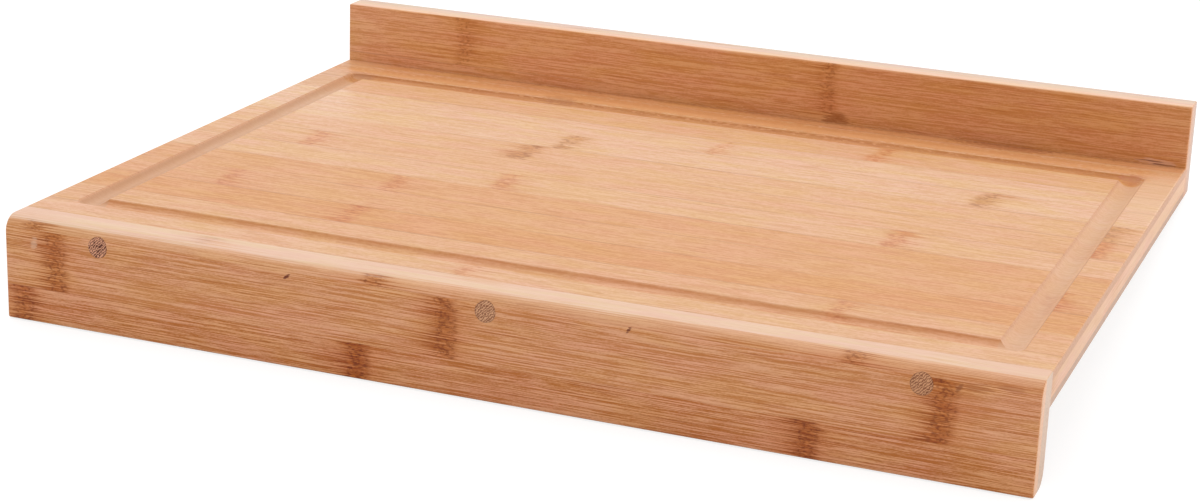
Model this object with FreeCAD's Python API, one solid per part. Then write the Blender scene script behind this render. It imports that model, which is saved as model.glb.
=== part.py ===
import FreeCAD, Part
import os

# Bamboo worktop board: a three-ply panel with a juice groove, a deep lip dowelled to its front edge
# and an upstand dowelled to its rear edge. Every strip of every ply is a separate piece.
# Frame: X to the right, Y to the back, Z up. The origin is the centre of the panel's underside.

# Overall sizes, in millimetres
board_width = 500.0
panel_depth = 344.0
lip_height = 51.0
upstand_height = 51.0

# Thickness of the outer plies and of the ply between them
panel_face_ply = 4.4
panel_core_ply = 8.2
lip_face_ply = 6.0
lip_core_ply = 6.0
upstand_face_ply = 5.3
upstand_core_ply = 5.4

# Bamboo strips, and the trimmed strip that each ply starts with
strip_width = 28.6
panel_top_first_strip = 19.0
panel_core_first_strip = 6.9
panel_bottom_first_strip = 12.0
lip_front_first_strip = 5.0
lip_core_first_strip = 22.4
upstand_front_first_strip = 22.4
upstand_core_first_strip = strip_width
upstand_back_first_strip = 22.4

# Juice groove, run with a round-nosed cutter
groove_width = 12.8
groove_depth = 3.0
groove_side_margin = 16.2
groove_front_margin = 16.0
groove_back_margin = 27.2

# Dowels through the lip and the upstand into the edges of the panel
dowel_diameter = 10.0
dowel_end_margin = 51.0
dowel_bite = 15.0
dowel_glue_gap = 0.05
dowel_end_gap = 0.5

# Rounded edges
lip_roundover = 8.0
edge_round = 1.0

# Places that follow from the sizes
panel_thickness = 2 * panel_face_ply + panel_core_ply
lip_thickness = 2 * lip_face_ply + lip_core_ply
upstand_thickness = 2 * upstand_face_ply + upstand_core_ply
left_end = -board_width / 2
right_end = board_width / 2
panel_front = -panel_depth / 2
panel_back = panel_depth / 2
lip_front = panel_front - lip_thickness
lip_bottom = panel_thickness - lip_height
upstand_back = panel_back + upstand_thickness


def box(x_span, y_span, z_span):
    """Block between two limits along each axis."""
    corner = FreeCAD.Vector(x_span[0], y_span[0], z_span[0])
    sizes = [span[1] - span[0] for span in (x_span, y_span, z_span)]
    return Part.makeBox(*sizes, corner)


def spans(limits):
    """Neighbouring limits in pairs."""
    return list(zip(limits, limits[1:]))


def strip_spans(start, end, first_strip):
    """Strips of one ply: a trimmed first strip, whole strips, then what is left at the end."""
    direction = 1 if end > start else -1
    limits = [start]
    width = first_strip
    while abs(end - limits[-1]) > width:
        limits.append(limits[-1] + direction * width)
        width = strip_width
    limits.append(end)
    return [tuple(sorted(pair)) for pair in spans(limits)]


def ply_spans(start, face_ply, core_ply):
    """Face, core and face ply, counted from one outer face."""
    first_seam = start + face_ply
    second_seam = first_seam + core_ply
    return spans([start, first_seam, second_seam, second_seam + face_ply])


def panel_blocks():
    """Strips of the panel: long ones on top and underneath, and a crosswise core as one group."""
    bottom_ply, core_ply, top_ply = ply_spans(0, panel_face_ply, panel_core_ply)
    faces = {
        "top": (top_ply, panel_top_first_strip),
        "bottom": (bottom_ply, panel_bottom_first_strip),
    }
    blocks = {}
    for face, (ply, first_strip) in faces.items():
        strips = strip_spans(panel_front, panel_back, first_strip)
        for number, strip in enumerate(strips, 1):
            blocks[f"panel_{face}_strip_{number:02d}"] = [box((left_end, right_end), strip, ply)]
    core = strip_spans(left_end, right_end, panel_core_first_strip)
    blocks["panel_core_strips"] = [box(strip, (panel_front, panel_back), core_ply) for strip in core]
    return blocks


def upright_blocks(member, start, end, plies, first_strips):
    """Strips of the lip or the upstand, ply by ply from the front, each ply from one level to another."""
    blocks = {}
    for ply, (layer, first_strip) in zip(plies, first_strips.items()):
        for number, strip in enumerate(strip_spans(start, end, first_strip), 1):
            blocks[f"{member}_{layer}_strip_{number}"] = [box((left_end, right_end), ply, strip)]
    return blocks


def lip_blocks():
    """Strips of the front lip, from the top down. Its back ply has a seam level with the panel's underside."""
    plies = ply_spans(lip_front, lip_face_ply, lip_core_ply)
    first_strips = {
        "front": lip_front_first_strip,
        "core": lip_core_first_strip,
        "back": panel_thickness,
    }
    return upright_blocks("lip", panel_thickness, lip_bottom, plies, first_strips)


def upstand_blocks():
    """Strips of the rear upstand, from the panel's underside up."""
    plies = ply_spans(panel_back, upstand_face_ply, upstand_core_ply)
    first_strips = {
        "front": upstand_front_first_strip,
        "core": upstand_core_first_strip,
        "back": upstand_back_first_strip,
    }
    return upright_blocks("upstand", 0, upstand_height, plies, first_strips)


def dowel_pins(radius, extra_depth):
    """Dowels, or the holes for them: three through the lip and three through the upstand."""
    faces = {
        "front": (lip_front, lip_thickness, 1),
        "rear": (upstand_back, upstand_thickness, -1),
    }
    columns = {"left": left_end + dowel_end_margin, "middle": 0, "right": right_end - dowel_end_margin}
    pins = {}
    for end, (face, thickness, inwards) in faces.items():
        length = thickness + dowel_bite + extra_depth
        direction = FreeCAD.Vector(0, inwards, 0)
        for column, x in columns.items():
            head = FreeCAD.Vector(x, face, panel_thickness / 2)
            pins[f"{end}_dowel_{column}"] = Part.makeCylinder(radius, length, head, direction)
    return pins


def outline_point(y, z):
    """Point of the outline on the board's left end."""
    return FreeCAD.Vector(left_end, y, z)


def lip_corner(y, z, towards_y, towards_z):
    """Start, middle and end of the round-over at a corner of the lip, from its upright to its level side."""
    setback = lip_roundover * (1 - 0.5 ** 0.5)
    start = outline_point(y, z + towards_z * lip_roundover)
    middle = outline_point(y + towards_y * setback, z + towards_z * setback)
    end = outline_point(y + towards_y * lip_roundover, z)
    return start, middle, end


def board_outline():
    """The glued-up board seen from its end, with the two large round-overs of the lip."""
    top_front = lip_corner(lip_front, panel_thickness, 1, -1)
    bottom_rear = lip_corner(panel_front, lip_bottom, -1, 1)
    over_the_top = [
        top_front[2],
        outline_point(panel_back, panel_thickness),
        outline_point(panel_back, upstand_height),
        outline_point(upstand_back, upstand_height),
        outline_point(upstand_back, 0),
        outline_point(panel_front, 0),
        bottom_rear[0],
    ]
    up_the_front = [bottom_rear[2], outline_point(lip_front, lip_bottom), top_front[0]]
    edges = [Part.makeLine(*pair) for pair in spans(over_the_top)]
    edges.append(Part.Arc(*bottom_rear).toShape())
    edges += [Part.makeLine(*pair) for pair in spans(up_the_front)]
    edges.append(Part.Arc(*top_front).toShape())
    return Part.Wire(edges)


def sanded_board():
    """The whole glued-up board as one block, with its outer edges rounded by sanding."""
    block = Part.Face(board_outline()).extrude(FreeCAD.Vector(board_width, 0, 0))
    sharp_corners = [
        Part.Vertex(outline_point(lip_front, lip_bottom)),
        Part.Vertex(outline_point(panel_back, upstand_height)),
        Part.Vertex(outline_point(upstand_back, upstand_height)),
        Part.Vertex(outline_point(upstand_back, 0)),
    ]
    rounded = []
    for edge in block.Edges:
        on_an_end = edge.BoundBox.XLength < board_width / 2
        from_a_corner = any(edge.distToShape(corner)[0] < edge_round for corner in sharp_corners)
        if on_an_end or from_a_corner:
            rounded.append(edge)
    return block.makeFillet(edge_round, rounded)


def groove_cutters():
    """Path of a round-nosed cutter run once round the top of the panel."""
    nose = ((groove_width / 2) ** 2 + groove_depth ** 2) / (2 * groove_depth)
    height = panel_thickness - groove_depth + nose
    right = right_end - groove_side_margin - groove_width / 2
    front = panel_front + groove_front_margin + groove_width / 2
    back = panel_back - groove_back_margin - groove_width / 2
    places = [(-right, front), (right, front), (right, back), (-right, back)]
    corners = [FreeCAD.Vector(x, y, height) for x, y in places]
    cutters = []
    for start, end in spans(corners + corners[:1]):
        run = end - start
        cutters.append(Part.makeCylinder(nose, run.Length, start, run))
        cutters.append(Part.makeSphere(nose, start))
    return cutters


def machined(blocks, board, cutters):
    """What sanding, routing and drilling leave of one piece, or of a group of like pieces."""
    solids = []
    for block in blocks:
        solids += block.common(board).cut(cutters).Solids
    return solids[0] if len(solids) == 1 else Part.makeCompound(solids)


def build():
    """Every piece by name."""
    board = sanded_board()
    groove = groove_cutters()
    holes = dowel_pins(dowel_diameter / 2 + dowel_glue_gap, dowel_end_gap)
    strips = panel_blocks() | lip_blocks() | upstand_blocks()
    dowels = dowel_pins(dowel_diameter / 2, 0)
    pieces = {name: machined(blocks, board, groove + list(holes.values())) for name, blocks in strips.items()}
    for name, dowel in dowels.items():
        pieces[name] = machined([dowel], board, groove)
    return pieces


os.makedirs("parts", exist_ok=True)
for name, shape in build().items():
    shape.exportStep(f"parts/{name}.step")
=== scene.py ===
import bpy
import math
import random
from mathutils import Matrix, Vector


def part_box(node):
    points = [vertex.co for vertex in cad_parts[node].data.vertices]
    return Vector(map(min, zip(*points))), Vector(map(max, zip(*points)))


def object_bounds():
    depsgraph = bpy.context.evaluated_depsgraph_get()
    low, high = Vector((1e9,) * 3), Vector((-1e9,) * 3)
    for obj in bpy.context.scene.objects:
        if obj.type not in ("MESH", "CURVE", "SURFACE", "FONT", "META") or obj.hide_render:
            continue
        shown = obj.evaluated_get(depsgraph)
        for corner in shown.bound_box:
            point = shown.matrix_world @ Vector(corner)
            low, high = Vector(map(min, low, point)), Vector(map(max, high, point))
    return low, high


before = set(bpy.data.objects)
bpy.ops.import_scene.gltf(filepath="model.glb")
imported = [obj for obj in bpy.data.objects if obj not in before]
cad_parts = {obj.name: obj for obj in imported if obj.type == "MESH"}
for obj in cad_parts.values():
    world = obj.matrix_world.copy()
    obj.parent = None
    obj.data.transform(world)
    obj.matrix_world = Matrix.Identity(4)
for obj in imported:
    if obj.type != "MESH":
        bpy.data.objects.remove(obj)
cad_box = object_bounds()

# Core of the panel: bamboo strips laid crosswise between the two faces and pressed with glue, so that the
# panel stays flat. Only the sides of the outermost two show, as the middle layer of the board's ends.
X, Y, Z = 0, 1, 2


class Socket:
    """One value, colour or vector inside a material. Sums and products of values add Math nodes there."""

    def __init__(self, tree, output=None):
        self.tree = tree
        self.output = output

    def node(self, kind, settings, inputs, output=0):
        """Adds a node: first its settings, then the values or links of its input sockets."""
        made = self.tree.nodes.new("ShaderNode" + kind)
        for name, setting in settings.items():
            setattr(made, name, setting)
        for name, value in inputs.items():
            if isinstance(value, Socket):
                self.tree.links.new(value.output, made.inputs[name])
            else:
                made.inputs[name].default_value = value
        return Socket(self.tree, made.outputs[output]) if made.outputs else None

    def maths(self, operation, *values):
        return self.node("Math", {"operation": operation}, dict(enumerate(values)))

    def __add__(self, other):
        return self.maths("ADD", self, other)

    def __sub__(self, other):
        return self.maths("SUBTRACT", self, other)

    def __rsub__(self, other):
        return self.maths("SUBTRACT", other, self)

    def __mul__(self, other):
        return self.maths("MULTIPLY", self, other)

    __radd__ = __add__
    __rmul__ = __mul__

    def __abs__(self):
        return self.maths("ABSOLUTE", self)

    def vector(self, operation, other):
        return self.node("VectorMath", {"operation": operation}, {0: self, 1: other})

    def axis(self, number):
        """One coordinate of a vector."""
        return self.node("SeparateXYZ", {}, {0: self}, output=number)

    def rise(self, low, high):
        """0 up to low, 1 from high on, and smooth between them. With low above high it falls instead."""
        if low > high:
            return 1 - self.rise(high, low)
        settings = {"interpolation_type": "SMOOTHSTEP"}
        return self.node("MapRange", settings, {"Value": self, "From Min": low, "From Max": high})

    def mix(self, colour, other, blend="MIX"):
        """This value as the share of the other colour in a mix."""
        settings = {"data_type": "RGBA", "blend_type": blend}
        return self.node("Mix", settings, {0: self, 6: colour, 7: other}, output=2)


def paint(red, green, blue):
    """A colour as seen on a screen, from 0 to 255, turned into the linear colour that a shader takes."""
    shares = [level / 255 for level in (red, green, blue)]
    linear = [s / 12.92 if s <= 0.04045 else ((s + 0.055) / 1.055) ** 2.4 for s in shares]
    return (*linear, 1)


def between(low, high, share):
    """Values part of the way from one list to another."""
    return tuple(a + (b - a) * share for a, b in zip(low, high))


def tinted(colour, factors):
    """A colour with its red, green and blue each multiplied by a factor."""
    return (*(level * factor for level, factor in zip(colour, factors)), 1)


def stretched(place, fibre, length, width, offset):
    """Place counted in cells of that length along the fibres and that width across them."""
    cell = [width, width, width]
    cell[fibre] = length
    return place.vector("MULTIPLY", [1 / size for size in cell]).vector("ADD", offset)


def noise(place, fibre, length, width, offset, detail=1):
    """Cloudy value in such cells."""
    cells = stretched(place, fibre, length, width, offset)
    return place.node("TexNoise", {}, {"Vector": cells, "Scale": 1, "Detail": detail, "Roughness": 0.55})


def bundles(place, fibre, length, width, offset):
    """Distance from the nearest fibre bundle, as a share of such a cell."""
    cells = stretched(place, fibre, length, width, offset)
    return place.node("TexVoronoi", {}, {"Vector": cells, "Scale": 1})


def empty_material(name):
    """New material without nodes, and the socket that its nodes start from."""
    material = bpy.data.materials.new(name)
    material.use_nodes = True
    material.node_tree.nodes.clear()
    return material, Socket(material.node_tree)


def put_on(node, material):
    """Gives a piece of the board its material."""
    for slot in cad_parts[node].material_slots:
        slot.material = material


# Tints of a ring's stain, dashes and pores
dark_ring = ((0.71, 0.49, 0.16, 1), (0.62, 0.44, 0.28, 1), (0.54, 0.39, 0.26, 1))
red_ring = ((0.84, 0.50, 0.18, 1), (0.80, 0.46, 0.30, 1), (0.74, 0.44, 0.28, 1))
no_tint = (1, 1, 1, 1)


def bamboo(node, fibre, across, wood, knuckles=(), ring=dark_ring, draw=0.5, reach=1.0, coarse=1.0,
           drift=no_tint, slant=0.0, groove=None, marks=(), side=paint(214, 176, 148),
           cut_end=paint(204, 158, 130), surface=False):
    """Bamboo for one strip of that wood colour. fibre is the axis that it grew along and across the axis of
    its width. draw is how strongly the fibres show, reach how long and coarse how wide they are. drift is
    a tint that grows towards the right. knuckles are the stem's brown rings, in the tints of ring. side is
    the colour of the strip's narrow sides, paler partly from their wood and partly from a painted highlight
    on the rounded edge, which slant makes to reach less far round towards the right, and cut_end is the
    colour of its ends. With surface, roughness and bump follow the fibres."""
    chance = random.Random(node)
    offset = [chance.uniform(-40, 40) for axis in range(3)]
    material, start = empty_material(node)
    place = start.node("TexCoord", {}, {}, output="Object")
    normal = start.node("TexCoord", {}, {}, output="Normal")
    low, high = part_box(node)

    # Fibres wander a little across the strip
    wander = noise(place, fibre, 0.16, 0.04, offset) - 0.5
    wander_reach = 0.0025
    sideways = [wander_reach, wander_reach, wander_reach]
    sideways[fibre] = 0
    push = start.node("CombineXYZ", {}, {0: wander, 1: wander, 2: wander}).vector("MULTIPLY", sideways)
    grain = place.vector("ADD", push)

    # Streaks, hairs and specks of light and dark fibre
    dark = tinted(wood, [1 - draw * share for share in (0.34, 0.62, 1.05)])
    light = tinted(wood, [1 + draw * share for share in (0.26, 0.50, 1.05)])
    broad = noise(grain, fibre, 0.09, 0.005, offset)
    streak = noise(grain, fibre, 0.045 * reach, 0.0005 * coarse, offset)
    hair = noise(grain, fibre, 0.007 * reach, 0.00045 * coarse, offset)
    speck = noise(grain, fibre, 0.0014, 0.00045 * coarse, offset)
    shade = (broad * 0.05 + streak * 0.50 + hair * 0.30 + speck * 0.15).rise(0.41, 0.59)
    colour = shade.mix(dark, light)

    # Thin dark bundles and short pale ones among them
    bundle_tint = (0.74, 0.57, 0.40, 1)
    pale_tint = (1.18, 1.28, 1.45, 1)
    bundle = bundles(grain, fibre, 0.050 * reach, 0.0013 * coarse, offset).rise(0.26, 0.14)
    colour = (bundle * (0.1 + draw)).mix(colour, bundle_tint, "MULTIPLY")
    dash = bundles(grain, fibre, 0.008 * reach, 0.0010 * coarse, offset).rise(0.26, 0.14)
    colour = (dash * draw * 0.6).mix(colour, pale_tint, "MULTIPLY")

    # Yellowish and pinkish patches, and the drift of the colour along the strip
    yellowish = (0.99, 1.00, 0.85, 1)
    pinkish = (1.01, 0.97, 1.04, 1)
    patch = noise(place, fibre, 0.04, 0.010, offset, detail=2)
    colour = (patch.rise(0.48, 0.66) * 0.9).mix(colour, yellowish, "MULTIPLY")
    colour = (patch.rise(0.52, 0.34) * 0.9).mix(colour, pinkish, "MULTIPLY")
    lengthwise = place.axis(fibre)
    to_the_right = lengthwise.rise(low[fibre], high[fibre])
    colour = to_the_right.mix(colour, drift, "MULTIPLY")

    # Towards the strip's narrow sides the face is paler, in streaks: partly the pale inner wood, partly a
    # painted highlight on the rounded edge
    ebb = noise(place, fibre, 0.06, 0.05, offset) - 0.5
    edge = abs(normal.axis(across)) + ebb * 0.45 + (streak - 0.5) * 0.30 + (0.35 - to_the_right) * slant
    if groove is None:
        colour = (edge.rise(0.22, 0.95) * 0.55).mix(colour, tinted(side, (0.97, 0.90, 0.76)))

    # Brown stain, dark dashes and pores where the stem had its knuckles. past is the distance from a ring on
    # the side of its stain, with a ragged front.
    ragged = noise(grain, fibre, 0.5, 0.0014 * coarse, offset, detail=2) - 0.5
    dashes = noise(grain, fibre, 0.009, 0.0009 * coarse, offset).rise(0.54, 0.42)
    pores = noise(grain, fibre, 0.0010 + 0.0010 * coarse, 0.0010 * coarse, offset)
    crosswise = place.axis(across) - (low[across] + high[across]) / 2
    for along, halo, strength in knuckles:
        facing = 1 if halo > 0 else -1
        lean = chance.uniform(-0.12, 0.12)
        past = (lengthwise - along) * facing + ragged * 0.012 + crosswise * lean
        colour = ringed(colour, ring, past, abs(halo), strength, streak, dashes, pores)

    # The narrow sides show the pale inner wood, brightened by a painted highlight
    if groove is None:
        pink, yellow = tinted(side, (1.01, 0.95, 1.00)), tinted(side, (1.00, 1.04, 0.93))
        pale_side_and_highlight = patch.rise(0.40, 0.60).mix(pink, yellow)
        pale_side_and_highlight = (streak.rise(0.45, 0.62) * 0.8).mix(pale_side_and_highlight, tinted(side, (1.07, 1.13, 1.20)))
        pale_side_and_highlight = (hair.rise(0.46, 0.34) * 0.5).mix(pale_side_and_highlight, tinted(side, (0.92, 0.86, 0.80)))
        colour = edge.rise(0.80, 0.97).mix(colour, pale_side_and_highlight)

    # The groove, and how far a place is cut away by it
    cut = 0
    if groove is not None:
        colour, cut = grooved(colour, groove, wood, place, normal)

    # Small natural marks and flecks, as ragged ovals
    for along, level, lean, half_length, half_height, share, mark_colour in marks:
        rise = place.axis(across) - level
        slide = (lengthwise - along - rise * lean) * (1 / half_length)
        rise = rise * (1 / half_height)
        mark = (slide * slide + rise * rise + (hair - 0.5) * 4.0).rise(1.3, 0.4)
        colour = (mark * share).mix(colour, mark_colour)

    # Its ends show the cut bundles
    end = abs(normal.axis(fibre)).rise(0.55, 0.80)
    dots = bundles(place, fibre, 0.5, 0.0012, offset).rise(0.42, 0.22)
    colour = end.mix(colour, (dots * 0.35).mix(cut_end, tinted(cut_end, (0.60, 0.48, 0.40))))

    # Thin glue line at both sides of the strip, clear in some stretches and lost in others
    half = (high[across] - low[across]) / 2
    outer_face = abs(normal.axis(across)).rise(0.70, 0.90)
    line = abs(crosswise).rise(half - 0.0006 * coarse, half - 0.0001)
    glue = line * broad.rise(0.40, 0.60) * (1 - outer_face) * (1 - cut)
    glue_brown = paint(140, 80, 44)
    colour = (glue * (0.145 * coarse)).mix(colour, glue_brown)

    # Oiled finish, a little rougher and lower along the dark fibres
    shader_inputs = {"Base Color": colour, "Roughness": 0.40, "Specular IOR Level": 0.3}
    if surface:
        shader_inputs["Roughness"] = 0.36 + (1 - shade) * 0.10
        height = streak * 0.6 + hair * 0.4 - bundle * 0.3
        bump_inputs = {"Height": height, "Strength": 0.25, "Distance": 0.0002}
        shader_inputs["Normal"] = start.node("Bump", {}, bump_inputs)
    shader = start.node("BsdfPrincipled", {}, shader_inputs)
    start.node("OutputMaterial", {}, {"Surface": shader})
    put_on(node, material)


toasted = paint(202, 141, 87)
pale = paint(214, 171, 135)
bamboo("panel_core_strips", fibre=Y, across=X, wood=between(toasted, pale, 0.6), side=paint(214, 169, 138))

# Underside of the panel: bamboo strips side by side along the board, glued to the core. It rests on the
# worktop. The strips come from different stems, so their rings fall at different places.
board_left = cad_box[0].x
board_right = cad_box[1].x
ring_spacing = 0.23


def ringed(colour, ring, past, halo, strength, streak, dashes, pores):
    """Colour with one ring of the stem: a blush round it, a stain as long as its halo that feathers out in
    streaks, dark dashes in the stain, and dark and pale pores next to the ring."""
    stain_tint, dash_tint, pore_tint = ring
    blush_tint = (0.94, 0.83, 0.70, 1)
    pale_pore_tint = (1.30, 1.42, 1.70, 1)
    girth = 0.003 + 0.009 * strength
    blush = abs(past).rise(0.024, 0.002) * (strength * (0.3 + 0.7 * strength))
    colour = blush.mix(colour, blush_tint, "MULTIPLY")
    feathered = past + (streak - 0.5) * 0.028
    band = past.rise(-0.0080, -0.0035) * feathered.rise(girth, girth * 0.25)
    glow = past.rise(-0.0050, 0.0010) * feathered.rise(halo, 0.001)
    stain = band * 0.62 + glow * 0.36
    colour = (stain * strength).mix(colour, stain_tint, "MULTIPLY")
    colour = (band * dashes * (0.55 * strength)).mix(colour, dash_tint, "MULTIPLY")
    core = past.rise(-0.0055, -0.0035) * past.rise(girth * 0.55, girth * 0.35) * (0.25 + 0.55 * strength)
    colour = (pores.rise(0.50, 0.64) * core).mix(colour, pore_tint, "MULTIPLY")
    return (pores.rise(0.46, 0.36) * core * 0.5).mix(colour, pale_pore_tint, "MULTIPLY")


def scattered_knuckles(seed):
    """Rings at about the spacing that they have on a stem, starting anywhere along the strip. Each is its
    place, the length of its stain, below 0 where that runs to the left, and its strength."""
    chance = random.Random(seed)
    along = board_left - chance.uniform(0, ring_spacing)
    rings = []
    while along < board_right:
        halo = chance.choice((-1, 1)) * chance.uniform(0.010, 0.022)
        rings.append((along, halo, chance.uniform(0.5, 0.9)))
        along += ring_spacing * chance.uniform(0.85, 1.15)
    return rings


bottom_strips = sorted(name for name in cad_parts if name.startswith("panel_bottom_strip"))
for name in bottom_strips:
    wood = between(toasted, pale, random.Random(name).uniform(0.2, 0.8))
    bamboo(name, X, Y, wood, scattered_knuckles(name), cut_end=paint(186, 150, 127))

# Top of the panel: thirteen bamboo strips glued side by side, with a juice groove routed round them and
# the face sanded and oiled. Each strip has its tone, from 0, toasted, to 1, pale, and its rings, which are
# given from the left end with the length of their stain and their strength.
top_strips = {
    "panel_top_strip_01": (0.62, [(0.230, 0.016, 0.30)]),
    "panel_top_strip_02": (0.42, [(0.398, 0.012, 0.30)]),
    "panel_top_strip_03": (0.04, [(0.143, -0.020, 0.42)]),
    "panel_top_strip_04": (0.24, [(0.062, 0.016, 0.34), (0.482, 0.018, 0.50)]),
    "panel_top_strip_05": (0.20, [(0.140, 0.016, 0.32)]),
    "panel_top_strip_06": (0.64, [(0.188, 0.018, 0.42), (0.393, 0.014, 0.45)]),
    "panel_top_strip_07": (0.55, [(0.065, 0.018, 0.40), (0.485, -0.022, 0.50)]),
    "panel_top_strip_08": (0.66, [(0.175, -0.020, 0.58), (0.487, 0.014, 0.45)]),
    "panel_top_strip_09": (0.97, [(0.188, 0.012, 0.50), (0.416, 0.016, 0.52)]),
    "panel_top_strip_10": (1.05, [(0.265, 0.016, 0.25)]),
    "panel_top_strip_11": (0.72, [(0.346, 0.020, 0.40)]),
    "panel_top_strip_12": (0.55, []),
    "panel_top_strip_13": (0.12, []),
}
groove_side_margin = 0.0162
groove_width = 0.0128
groove_inner = board_right - groove_side_margin - groove_width


def from_left(rings):
    """Rings that are given from the board's left end, in the frame's own coordinate."""
    return [(board_left + along, halo, strength) for along, halo, strength in rings]


def grooved(colour, groove, wood, place, normal):
    """Colour with the juice groove in it, and how far each place is cut away. The groove is dull where it
    crosses the fibres, browner on the left than on the right. Along the back it carries painted shade from
    the upstand, and its walls that face the front carry painted shade, darkest towards their upper edge."""
    top, inner, rear = groove
    left_floor, left_wall = between(wood, paint(194, 150, 118), 0.8), paint(172, 124, 88)
    right_floor, right_wall = between(wood, paint(206, 166, 136), 0.8), paint(224, 184, 152)
    rear_run_shade_tint = (0.91, 0.765, 0.47, 1)
    front_wall_shade_tint, rear_wall_shade_tint = (0.83, 0.67, 0.46, 1), (0.72, 0.55, 0.28, 1)
    depth = top - place.axis(Z)
    cut = depth.rise(0.0003, 0.0009)
    crossing = abs(place.axis(X)).rise(inner - 0.0006, inner + 0.0002)
    wall = abs(normal.axis(X)).rise(0.10, 0.60)
    left_cut = (wall * 0.6).mix(left_floor, left_wall)
    facing_left = (0 - normal.axis(X)).rise(0.30, 0.70)
    right_cut = facing_left.mix(right_floor, right_wall)
    on_the_left = place.axis(X).rise(0.01, -0.01)
    dull = on_the_left.mix(right_cut, left_cut)
    colour = (cut * crossing * (on_the_left * 0.25 + 0.60)).mix(colour, dull)
    # Painted shade: the run along the back lies in the upstand's shade
    below = depth.rise(0.0001, 0.0006)
    rear_run = place.axis(Y).rise(rear - 0.001, rear + 0.001)
    colour = (below * rear_run).mix(colour, rear_run_shade_tint, "MULTIPLY")
    # Painted shade on the walls that face the front, away from the light
    wall_shade = (0 - normal.axis(Y)).rise(0.12, 0.72) * below
    colour = wall_shade.mix(colour, rear_run.mix(front_wall_shade_tint, rear_wall_shade_tint), "MULTIPLY")
    return colour, cut


burn_right = paint(178, 104, 70)
burn_left = paint(160, 100, 66)
upstand_shade_band = paint(197, 135, 84)
rim_highlight = paint(214, 156, 108)
foot_shade_and_smudge = paint(150, 88, 52)
end_out_of_shade = paint(214, 166, 128)
groove_back_margin = 0.0272
panel_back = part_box("panel_top_strip_13")[1].y
groove_rear = panel_back - groove_back_margin - groove_width
corner_along = board_right - groove_side_margin - groove_width / 2
corner_level = panel_back - groove_back_margin - groove_width * 0.35

# Marks: place along the strip, place across it, lean, half length, half height, share and colour
rear_marks = [
    # Painted shade in front of the upstand
    (0.0, panel_back - 0.0190, 0.0, 0.300, 0.0087, 0.9, upstand_shade_band),
    # Painted highlight along the groove's far rim
    (0.0, panel_back - 0.0227, 0.0, 0.300, 0.0036, 0.5, rim_highlight),
    # A dark seam at the upstand's foot, widened by painted shade in the crease; the next two are dark
    # smudges
    (0.0, panel_back, 0.0, 0.300, 0.0040, 0.4, foot_shade_and_smudge),
    (board_left + 0.402, panel_back - 0.004, 0.0, 0.030, 0.0060, 0.5, foot_shade_and_smudge),
    (board_left + 0.148, panel_back - 0.026, 0.0, 0.010, 0.0060, 0.3, foot_shade_and_smudge),
    # Painted light: the upstand's shade thins out at the board's ends
    (board_left, panel_back - 0.004, 0.0, 0.026, 0.0100, 0.5, end_out_of_shade),
    (board_right, panel_back - 0.004, 0.0, 0.026, 0.0100, 0.2, end_out_of_shade),
    (corner_along, corner_level, 0.0, 0.0080, 0.0070, 0.50, burn_right),
    (-corner_along, corner_level, 0.0, 0.0080, 0.0070, 0.35, burn_left),
]
pale_rim = paint(217, 180, 148)
dark_rim = paint(198, 148, 112)
rim_marks = [
    (board_right - 0.006, panel_back - 0.062, 0.0, 0.0140, 0.0460, 0.5, pale_rim),
    (board_left + 0.006, panel_back - 0.048, 0.0, 0.0140, 0.0240, 0.6, dark_rim),
]
strip_marks = {
    "panel_top_strip_09": rim_marks,
    "panel_top_strip_10": rim_marks,
    "panel_top_strip_11": rim_marks,
    "panel_top_strip_12": rear_marks + rim_marks,
    "panel_top_strip_13": rear_marks,
}
dark_ringed = ("panel_top_strip_08", "panel_top_strip_09")
strip_drift = {"panel_top_strip_13": (0.985, 0.95, 0.93, 1)}
for name, (tone, rings) in top_strips.items():
    groove = (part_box(name)[1].z, groove_inner, groove_rear)
    ring = dark_ring if name in dark_ringed else red_ring
    drift = strip_drift.get(name, no_tint)
    bamboo(name, X, Y, between(toasted, pale, tone), from_left(rings), ring, draw=0.20, reach=0.5,
           coarse=2.2, drift=drift, groove=groove, marks=strip_marks.get(name, ()),
           cut_end=paint(196, 148, 116), surface=True)

# Front lip: three plies of bamboo strips on edge, rounded over at the top and dowelled to the panel's front
# edge. It hangs below the panel and hooks over the front of a worktop. A front strip has its wood, how
# strongly its fibres show and the tint that it takes on towards the right.
lip_front = {
    "lip_front_strip_1": (paint(215, 153, 106), 0.56, (0.86, 0.75, 0.64, 1)),
    "lip_front_strip_2": (paint(214, 150, 103), 0.56, (0.97, 0.95, 0.92, 1)),
    "lip_front_strip_3": (paint(208, 141, 93), 0.72, (0.97, 0.95, 0.92, 1)),
}
lip_rings = {
    "lip_front_strip_1": [(0.016, 0.012, 0.7), (0.194, 0.012, 0.8), (0.419, 0.014, 0.7)],
    "lip_front_strip_2": [(0.028, -0.020, 0.85), (0.231, -0.028, 0.85), (0.459, -0.018, 0.9)],
    "lip_front_strip_3": [(0.009, 0.014, 0.9), (0.187, -0.030, 1.0), (0.401, -0.026, 0.9)],
}
fleck = paint(110, 46, 22)
scar = paint(224, 184, 154)
knot = paint(140, 76, 40)
blotch = paint(165, 95, 55)
lip_marks = [
    (board_left + 0.151, 0.0098, 0.9, 0.0011, 0.0014, 1.0, fleck),
    (board_left + 0.318, 0.0110, 0.5, 0.0008, 0.0014, 0.9, fleck),
    (board_left + 0.016, 0.0055, 0.2, 0.0018, 0.0028, 0.5, scar),
    (board_left + 0.465, 0.0095, 0.5, 0.0012, 0.0022, 0.7, knot),
    (board_left + 0.473, 0.0107, 0.0, 0.0070, 0.0016, 0.5, blotch),
    (board_left + 0.487, 0.0121, 0.0, 0.0060, 0.0014, 0.5, blotch),
]
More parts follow.
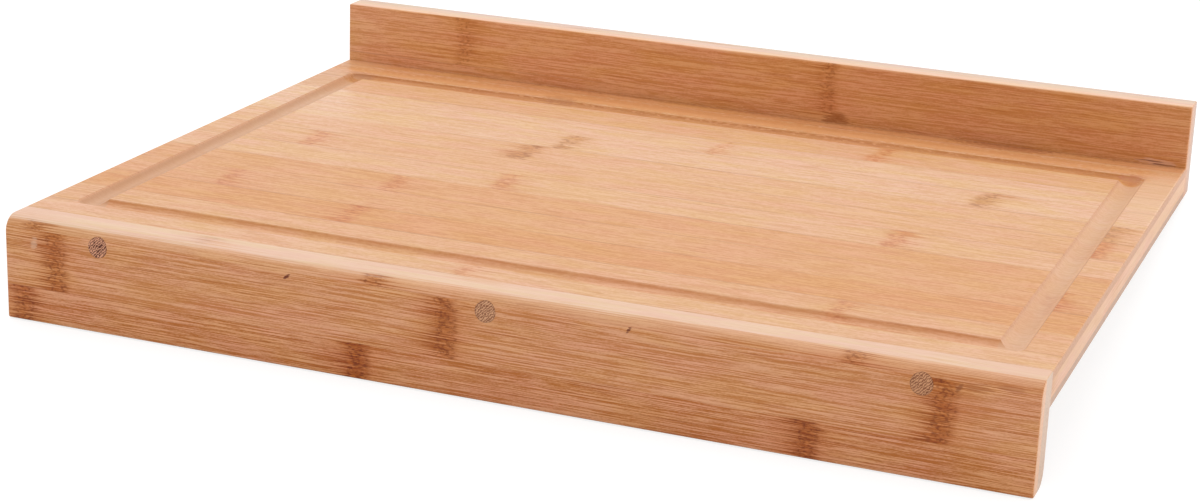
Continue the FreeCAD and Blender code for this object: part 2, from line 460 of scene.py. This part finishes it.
for name, (wood, draw, drift) in lip_front.items():
    bamboo(name, X, Z, wood, from_left(lip_rings[name]), draw=draw, reach=1.5, coarse=0.9, drift=drift,
           slant=0.18, marks=lip_marks, cut_end=paint(222, 178, 147), surface=True)
inner_ply = paint(208, 150, 100)
for name in sorted(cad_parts):
    if name.startswith(("lip_core", "lip_back")):
        bamboo(name, X, Z, inner_ply, scattered_knuckles(name), cut_end=paint(205, 177, 157))

# Rear upstand: three plies of bamboo strips on edge, dowelled to the panel's rear edge. It keeps food from
# falling off the back.
upstand_front = {
    "upstand_front_strip_1": (paint(215, 152, 104), [(0.305, 0.020, 0.25)]),
    "upstand_front_strip_2": (paint(217, 156, 107), [(0.076, 0.014, 0.35), (0.298, -0.014, 0.40)]),
}
smudge = paint(140, 72, 28)
chip = paint(220, 170, 142)
crack = paint(112, 60, 36)
upstand_marks = [
    (board_left + 0.305, 0.0185, 0.0, 0.0080, 0.0045, 0.6, smudge),
    (board_left + 0.484, 0.0182, 0.0, 0.0095, 0.0020, 0.6, chip),
    (board_left + 0.482, 0.0190, 0.0, 0.0070, 0.0004, 0.7, crack),
    (board_left + 0.487, 0.0175, 0.0, 0.0070, 0.0005, 0.7, crack),
]
# Painted shade: the upstand's front darkens towards the right, where less light reaches it
upstand_shade_to_the_right = (0.86, 0.78, 0.66, 1)
for name, (wood, rings) in upstand_front.items():
    bamboo(name, X, Z, wood, from_left(rings), draw=0.36, reach=1.0, coarse=1.4, drift=upstand_shade_to_the_right,
           marks=upstand_marks, side=paint(220, 178, 147), cut_end=paint(208, 160, 130), surface=True)
for name in sorted(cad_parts):
    if name.startswith("upstand_core"):
        bamboo(name, X, Z, inner_ply, scattered_knuckles(name), side=paint(212, 178, 154),
               cut_end=paint(202, 164, 142))
    if name.startswith("upstand_back"):
        bamboo(name, X, Z, inner_ply, scattered_knuckles(name), side=paint(202, 174, 156),
               cut_end=paint(194, 164, 148))

# Dowels: six hardwood pins glued through the lip and the upstand into the panel's edges and sanded flush,
# so that their end grain shows as round spots. Each has a colour for its wood and one for its vessels.
dowels = {
    "front_dowel_left": (paint(92, 48, 36), paint(219, 158, 125)),
    "front_dowel_middle": (paint(142, 90, 62), paint(210, 158, 120)),
    "front_dowel_right": (paint(138, 86, 58), paint(206, 150, 110)),
    "rear_dowel_left": (paint(130, 80, 56), paint(212, 158, 120)),
    "rear_dowel_middle": (paint(126, 78, 54), paint(210, 156, 118)),
    "rear_dowel_right": (paint(132, 82, 56), paint(212, 158, 118)),
}


def end_grain(node, wood, vessel):
    """Cut end of a dowel: wavy rows of pale vessels in darker wood."""
    chance = random.Random(node)
    offset = [chance.uniform(-40, 40) for axis in range(3)]
    material, start = empty_material(node)
    place = start.node("TexCoord", {}, {}, output="Object")
    row_fineness = 430
    rows = place.vector("MULTIPLY", [row_fineness, 0, -row_fineness]).vector("ADD", offset)
    wavy = {"Vector": rows, "Scale": 1, "Distortion": 6, "Detail": 1, "Detail Scale": 2.2}
    vessels = place.node("TexWave", {"bands_direction": "DIAGONAL"}, wavy, output=1).rise(0.30, 0.75)
    cloud = noise(place, Y, 0.2, 0.003, offset, detail=2)
    colour = vessels.mix(wood, vessel)
    colour = (cloud.rise(0.40, 0.80) * 0.3).mix(colour, vessel)

    # A thin brown line of glue goes round it
    low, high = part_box(node)
    middle = [(low.x + high.x) / 2, 0, (low.z + high.z) / 2]
    spoke = place.vector("SUBTRACT", middle).vector("MULTIPLY", [1, 0, 1])
    radius = (high.x - low.x) / 2
    from_middle = start.node("VectorMath", {"operation": "LENGTH"}, {0: spoke}, output="Value")
    rim_brown = paint(120, 70, 44)
    colour = (from_middle.rise(radius - 0.0006, radius - 0.0001) * 0.3).mix(colour, rim_brown)
    finish = {"Base Color": colour, "Roughness": 0.55, "Specular IOR Level": 0.2}
    shader = start.node("BsdfPrincipled", {}, finish)
    start.node("OutputMaterial", {}, {"Surface": shader})
    put_on(node, material)


for name, (wood, vessel) in dowels.items():
    end_grain(name, wood, vessel)

# Floor: a plain white surface that the board stands on. Off a worktop it tips forward on the round-over of
# the lip and leans back on the rounded rear edge, so the floor is the plane that touches both.
lip_roundover = 0.008
edge_round = 0.001
lip_low, lip_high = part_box("lip_back_strip_3")
back_low, back_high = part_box("upstand_back_strip_1")
lip_foot = Vector((0, lip_high.y - lip_roundover, lip_low.z + lip_roundover))
rear_foot = Vector((0, back_high.y - edge_round, back_low.z + edge_round))
span = rear_foot - lip_foot
tip = math.atan2(span.z, span.y) + math.asin((lip_roundover - edge_round) / span.length)
floor_normal = Vector((0, -math.sin(tip), math.cos(tip)))
floor_place = lip_foot - floor_normal * lip_roundover
floor_size = 6.0
bpy.ops.mesh.primitive_plane_add(size=floor_size, location=floor_place, rotation=(tip, 0, 0))
floor = bpy.context.object
floor.name = "floor"
floor_material, ground = empty_material("floor_white")
white = (1, 1, 1, 1)
light_grey = (0.8, 0.8, 0.8, 1)
dark_grey = (0.3, 0.3, 0.3, 1)
floor_glow = 0.78

# Light bounces off it as off grey card. To the eye it is close to white, with a pale shadow.
matt = ground.node("BsdfDiffuse", {}, {"Color": light_grey})
pale_shadow = ground.node("BsdfDiffuse", {}, {"Color": dark_grey})
glow = ground.node("Emission", {}, {"Color": white, "Strength": floor_glow})
seen = ground.node("AddShader", {}, {0: pale_shadow, 1: glow})
is_seen = ground.node("LightPath", {}, {}, output="Is Camera Ray")
upper_side = ground.node("MixShader", {}, {0: is_seen, 1: matt, 2: seen})
see_through = ground.node("BsdfTransparent", {}, {})
from_below = ground.node("NewGeometry", {}, {}, output="Backfacing")
floor_shader = ground.node("MixShader", {}, {0: from_below, 1: upper_side, 2: see_through})
ground.node("OutputMaterial", {}, {"Surface": floor_shader})
floor.data.materials.append(floor_material)

# Light: an even white surround, with a wide soft lamp overhead, a little to the left, and another low on
# the right.
surround_level = 0.80
world = bpy.data.worlds.new("surround")
bpy.context.scene.world = world
world.use_nodes = True
world.node_tree.nodes.clear()
sky = Socket(world.node_tree)
rays = {name: sky.node("LightPath", {}, {}, output=name) for name in ("Is Camera Ray", "Is Glossy Ray")}
shown = rays["Is Camera Ray"].maths("MAXIMUM", rays["Is Camera Ray"], rays["Is Glossy Ray"])
level = surround_level + shown * (1 - surround_level)
backdrop = sky.node("Background", {}, {"Color": white, "Strength": level})
sky.node("OutputWorld", {}, {"Surface": backdrop})


def soft_lamp(name, place, size, power):
    """Square lamp of that size, aimed at the board."""
    data = bpy.data.lights.new(name, "AREA")
    data.shape = "SQUARE"
    data.size = size
    data.energy = power
    lamp = bpy.data.objects.new(name, data)
    lamp.location = place
    lamp.rotation_euler = (-lamp.location).to_track_quat("-Z", "Y").to_euler()
    bpy.context.collection.objects.link(lamp)


soft_lamp("overhead", place=(-0.45, 0.3, 1.6), size=1.6, power=14)
soft_lamp("right", place=(1.5, 0.25, 0.5), size=1.0, power=9)

# Camera: a long lens in front of the board, above it and to its right.
camera_place = Vector((0.4251, -1.1694, 0.3815))
camera_azimuth = math.radians(20.78)
camera_elevation = math.radians(17.81)
camera_roll = math.radians(2.12)
film_width = 36
focal_length = 76.41
camera_data = bpy.data.cameras.new("camera")
camera_data.sensor_fit = "HORIZONTAL"
camera_data.sensor_width = film_width
camera_data.lens = focal_length
camera = bpy.data.objects.new("camera", camera_data)
turn = Matrix.Rotation(camera_azimuth, 4, "Z")
tilt = Matrix.Rotation(math.pi / 2 - camera_elevation, 4, "X")
roll = Matrix.Rotation(camera_roll, 4, "Z")
camera.matrix_world = Matrix.Translation(camera_place) @ turn @ tilt @ roll
bpy.context.collection.objects.link(camera)
bpy.context.scene.camera = camera
bpy.context.scene.view_settings.view_transform = "Standard"
